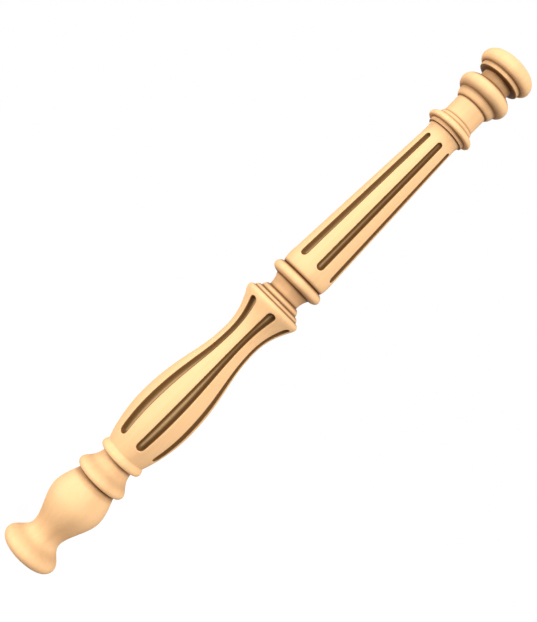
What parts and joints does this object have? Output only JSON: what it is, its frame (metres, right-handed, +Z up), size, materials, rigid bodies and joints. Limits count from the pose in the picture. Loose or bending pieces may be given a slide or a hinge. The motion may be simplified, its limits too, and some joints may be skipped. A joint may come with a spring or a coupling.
{
  "type": "stair baluster",
  "caption": "Turned and fluted wooden stair baluster with a bell foot, a bulb, a fluted vase, a fluted tapered shaft and a bun cap, standing on its foot.",
  "frame": {"origin": "middle of the foot's flat underside, on the turning axis", "axes": "+Z up the turning axis from the foot to the cap, -Y towards the viewer with a flute facing it, +X to the right"},
  "size_m": [0.0864, 0.0864, 0.9],
  "materials": {
    "pale_wood": "satin"
  },
  "bodies": {
    "root": {"baluster": "pale_wood"}
  },
  "joints": []
}
